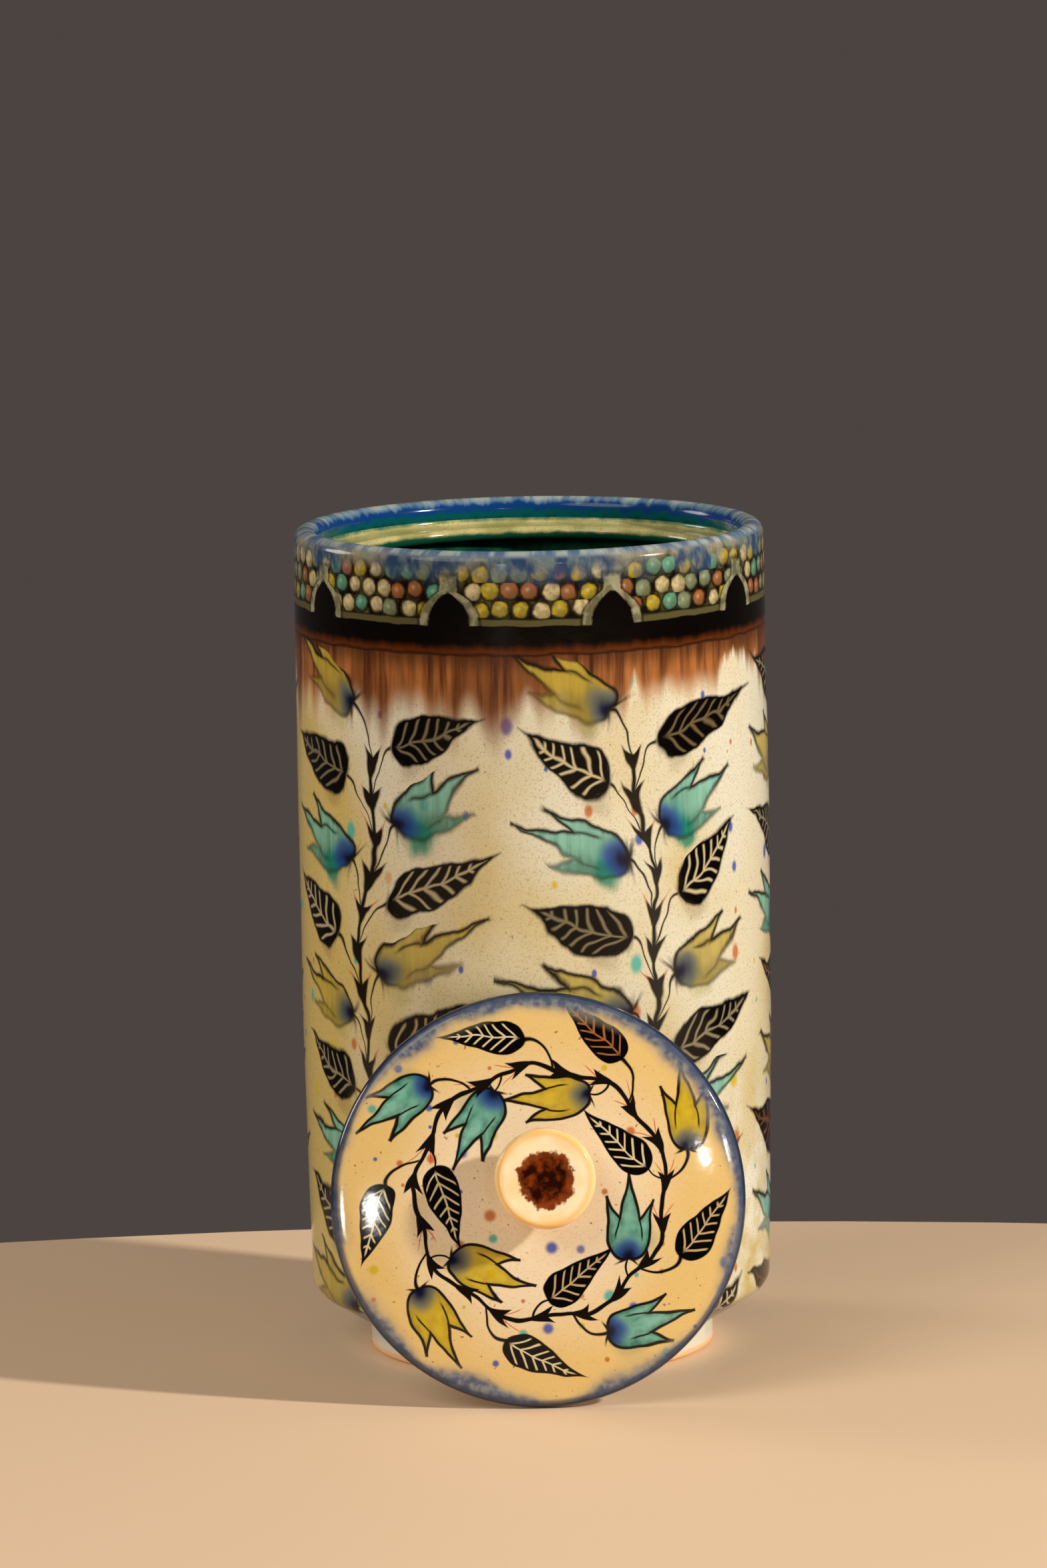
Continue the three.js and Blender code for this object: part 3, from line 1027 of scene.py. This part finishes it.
def lid_ground(point, radius):
    """Peach-cream glaze, paler in the middle and more orange towards the edge, with brown specks."""
    clouds = centred(point, 22.0, 2.0, 14.0)
    colour = mix(ramp(radius + clouds, 20.0, 44.0), (227, 211, 182), (217, 187, 121))
    colour = mix(ramp(noise(point, 0.5, 1.0), 0.52, 0.74) * 0.38, colour, (214, 160, 96))
    return mix(ramp(noise(point, 0.9, 0.0), 0.78, 0.86) * 0.75, colour, (128, 74, 38))


def ring_side(colour, x, y, turn, mottle, side):
    """The leaves and flowers on one side of the ring."""
    step = 2 * math.pi / side.motifs
    cell_here = cell_of(turn / step + side.offset)[0]
    for before in (1.0, 0.0):
        cell = cell_here - before
        number = wrap(cell + 0.5, side.motifs)
        red, green, blue = chance(number, side.seed, 1.5)[:3]
        middle = (cell + 0.75 - side.offset) * step + (red - 0.5) * 0.09
        out, ahead = in_turned_axes(y, x, cosine(middle), sine(middle))
        out = (out - RING_RADIUS) * side.outward - green * 0.8 - side.reach
        ahead = ahead + side.back
        lean = (blue - 0.5) * 0.14 + side.lean
        along, beside = in_turned_axes(ahead, out, cosine(lean), sine(lean))
        turquoise, mustard = flower_shares(number - 0.5 + side.first)
        along = along / LID_MOTIF_SCALE
        beside = beside / LID_MOTIF_SCALE * mix(turquoise + mustard, BLACK_LEAF_NARROWING, 1.0)

        rise = out + side.stalk_rise
        stalk = length(ahead / side.stalk_back, rise / side.stalk_rise) * 5.4 - 5.4
        stalk_line = stroke(stalk, 0.32, 0.16) * ramp(ahead, 2.4, 1.6) * ramp(rise, -0.8, 0.0)
        colour = mix(stalk_line, colour, INK)
        run = ramp(length(along - 6.5, beside * side.outward - 2.5), 8.5, 4.0) * turquoise
        colour = mix(run * 0.3, colour, TURQUOISE_DEEP)
        colour = painted_motif(
            colour, along, beside, (turquoise, mustard), side.bend, number * 5.0 + side.seed,
            mottle, SHARP, 0.78)
    return colour


def lid_ring(colour, point, x, y):
    """A ring of vine round the lid with leaves and flowers outside and inside it."""
    x = RING_CENTRE[0] - x + centred(point, 8.0, 1.0, RING_WARP)
    y = y - RING_CENTRE[1] + centred(scaled(point, (1.0, -1.0, 1.0)), 8.0, 1.0, RING_WARP)
    turn = calculate("ARCTAN2", x, y)
    from_ring = length(x, y) - RING_RADIUS - sine(turn * 9.0 + 0.8) * 0.9
    dart_step = 2 * math.pi / RING_DARTS
    dart_number, share = cell_of(turn / dart_step)
    dart_along = share * dart_step * RING_RADIUS
    darts = filled(dart(dart_along - 1.5, from_ring, 0.95), 0.15)
    hairs = stroke(abs(from_ring) - 0.5 - (dart_along - 6.0) * 0.55, 0.14, 0.1)
    hairs = hairs * ramp(dart_along, 5.4, 6.2) * ramp(dart_along, 11.0, 9.0)
    some = chance(dart_number, 4.5, 6.5)[0]
    colour = mix(hairs * ramp(some, 0.5, 0.52) * 0.85, colour, RED)
    mottle = noise(point, 2.6)
    outer, inner = (ring_side(colour, x, y, turn, mottle, side) for side in (OUTER_SIDE, INNER_SIDE))
    colour = mix(ramp(from_ring, -0.05, 0.05), inner, outer)
    return mix(most(stroke(from_ring, 0.55, 0.15), darts), colour, INK)


def lid_material():
    """The lid's paint: ground, drops of colour, the ring of vine and the blue edge."""
    material, point = new_material("lid_glaze", lid_place)
    x, y = parts_of(point)[:2]
    radius = length(x, y)
    colour = lid_ground(point, radius)
    colour = spatter(colour, x, y, columns=400, width=7.2, seed=2.5, share=0.4, elongation=1.0)
    colour = lid_ring(colour, point, x, y)

    band_start = centred(point, 3.0, 2.0, 2.0) + centred(point, 24.0, 1.0, 14.0) + LID_RADIUS - 2.9
    fade = ramp(radius - band_start, -3.0, 0.6)
    colour = mix(fade * 0.5, colour, (160, 150, 130))
    band = ramp(radius - band_start, -1.0, 1.6)
    blue = mix(ramp(noise(point, 2.0), 0.36, 0.66), (60, 76, 112), (116, 126, 134))
    colour = mix(band * 0.92, colour, blue)
    rim = ramp(radius, LID_RADIUS - 2.4, LID_RADIUS - 1.3)
    colour = mix(rim * 0.75, colour, (56, 70, 100))
    side = ramp(radius, LID_RADIUS - 1.2, LID_RADIUS - 0.6)
    colour = mix(side * 0.8, colour, (26, 34, 56))
    peel = noise(point, 5.0) * 0.09 + noise(point, 0.5, 1.0) * 0.008
    return finished(material, colour, 0.07, peel, 0.3)


def underside_material():
    """The lid's flat back: thin speckled cream glaze and a bare ring that the ledge touches."""
    material, point = new_material("underside_glaze", lid_place)
    x, y = parts_of(point)[:2]
    radius = length(x, y)
    colour = mix(ramp(noise(point, 20.0, 1.0), 0.34, 0.68), (236, 216, 178), (226, 200, 154))
    colour = mix(ramp(noise(point, 0.9, 0.0), 0.74, 0.84) * 0.7, colour, (128, 84, 44))
    edge = radius + centred(point, 5.0, 2.0, 1.6)
    bare = ramp(edge, LID_RADIUS - 6.4, LID_RADIUS - 5.8)
    colour = mix(bare, colour, (222, 178, 130))
    relief = noise(point, 0.7) * 0.03 + noise(point, 5.0) * 0.1
    return finished(material, colour, bare * 0.5 + 0.16, relief, 0.4)


def knob_material():
    """Pale cream glaze that breaks to orange on the edge, with a ragged brown spot on the face."""
    material, point = new_material("knob_glaze", knob_place)
    x, y, height = parts_of(point)
    radius = length(x, y)
    colour = mix(ramp(noise(point, 8.0), 0.36, 0.66), (250, 230, 194), (246, 214, 164))
    side = ramp(height, KNOB_HEIGHT - 1.6, KNOB_HEIGHT - 3.4)
    colour = mix(side * 0.5, colour, (244, 206, 146))
    edge = stroke(radius - KNOB_FACE_RADIUS - 0.3, 0.7, 0.9)
    colour = mix(edge * 0.8, colour, (240, 186, 98))
    on_face = ramp(height, KNOB_HEIGHT - 1.0, KNOB_HEIGHT - 0.6)
    spot = radius + centred(point, 1.5, 3.0, 3.6) + centred(point, 4.0, 1.0, 3.0)
    brown = mix(ramp(noise(point, 2.6, 3.0), 0.42, 0.72), (34, 7, 0), (122, 50, 12))
    brown = mix(ramp(spot, 4.6, 6.6) * 0.4, brown, (172, 84, 34))
    colour = mix(ramp(spot, 7.6, 6.6) * on_face, colour, brown)
    return finished(material, colour, 0.1, noise(point, 4.0) * 0.09, 0.3)


# Pieces, each standing for its solid

jar_finishes = (jar_material(), inside_material())
DRESSED = (
    (make_base, "jar_base", "jar", "body_glaze", jar_finishes),
    (make_wall, "jar_wall", "jar", "body_glaze", jar_finishes),
    (make_ledge, "lid_ledge", "jar", "ledge_glaze", (ledge_material(),)),
    (make_plate, "lid_plate", "lid", "lid_glaze", (lid_material(), underside_material())),
    (make_knob, "lid_knob", "lid", "lid_glaze", (knob_material(),)),
)
for make, node, body, slot, materials in DRESSED:
    piece = make()
    for material in materials:
        piece.data.materials.append(material)
    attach(piece, body)
    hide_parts(node)


# Floor, light and camera

FLOOR_RADIUS = 0.85
FLOOR_BACK = 0.146
FLOOR_STEPS = 128

CAMERA_PLACE = (-0.002468, -2.15, 0.4813)
CAMERA_PITCH = math.radians(8.874)
CAMERA_ROLL = math.radians(-0.992)
CAMERA_LENS = 194.9
CAMERA_SENSOR = 36.0

# Azimuth from the front towards the right and elevation in degrees, distance and size in metres, watts
LIGHTS = {
    "key": (64, 26, 1.6, 0.10, 28.0, (1.0, 0.92, 0.80)),
    "fill": (-45, 38, 1.6, 1.0, 11.5, (1.0, 0.90, 0.76)),
    "side": (-110, 18, 1.5, 0.5, 7.0, (1.0, 0.94, 0.86)),
    "window": (-13.8, 3.8, 1.5, 0.05, 0.9, (1.0, 0.97, 0.93)),
    "lamp": (14.4, 8.0, 1.5, 0.03, 0.5, (1.0, 0.97, 0.93)),
}
LIGHTS_AIM = Vector((0.0, -0.03, 0.09))


def make_floor():
    """A round plain floor that reaches a little way behind the jar."""
    ring = []
    for step in range(FLOOR_STEPS):
        angle = 2 * math.pi * step / FLOOR_STEPS
        across = FLOOR_RADIUS * math.cos(angle)
        ring.append((across, FLOOR_RADIUS * math.sin(angle) + FLOOR_BACK - FLOOR_RADIUS, 0.0))
    mesh = bpy.data.meshes.new("floor")
    mesh.from_pydata(ring, [], [list(range(FLOOR_STEPS))])
    floor = add_object("floor", mesh)
    material = bpy.data.materials.new("floor_plain")
    material.use_nodes = True
    shader = material.node_tree.nodes["Principled BSDF"]
    feed((230, 202, 172), shader.inputs["Base Color"])
    feed(0.6, shader.inputs["Roughness"])
    mesh.materials.append(material)


def make_light(name, azimuth, elevation, distance, size, power, colour):
    """A round area light aimed at the jar."""
    data = bpy.data.lights.new(name, "AREA")
    data.shape = "DISK"
    data.size = size
    data.energy = power
    data.color = colour
    lamp = add_object(name, data)
    turn = math.radians(azimuth)
    rise = math.radians(elevation)
    towards = Vector((
        math.sin(turn) * math.cos(rise), -math.cos(turn) * math.cos(rise), math.sin(rise)))
    lamp.location = LIGHTS_AIM + towards * distance
    lamp.rotation_mode = "QUATERNION"
    lamp.rotation_quaternion = towards.to_track_quat("Z", "Y")


def make_world():
    """A plain dark grey background."""
    world = bpy.data.worlds.new("studio")
    world.use_nodes = True
    feed((76, 68, 65), world.node_tree.nodes["Background"].inputs["Color"])
    bpy.context.scene.world = world


def make_camera():
    """The photograph's camera: it looks down a little and is turned a little about its own axis."""
    data = bpy.data.cameras.new("camera")
    data.lens = CAMERA_LENS
    data.sensor_width = CAMERA_SENSOR
    data.clip_start = 0.05
    data.clip_end = 50.0
    camera = add_object("camera", data)
    pitch = Matrix.Rotation(math.pi / 2 - CAMERA_PITCH, 4, "X")
    roll = Matrix.Rotation(CAMERA_ROLL, 4, "Z")
    camera.matrix_world = Matrix.Translation(CAMERA_PLACE) @ pitch @ roll
    bpy.context.scene.camera = camera


make_floor()
make_world()
make_camera()
for light, settings in LIGHTS.items():
    make_light(light, *settings)
bpy.context.scene.view_settings.view_transform = "Standard"
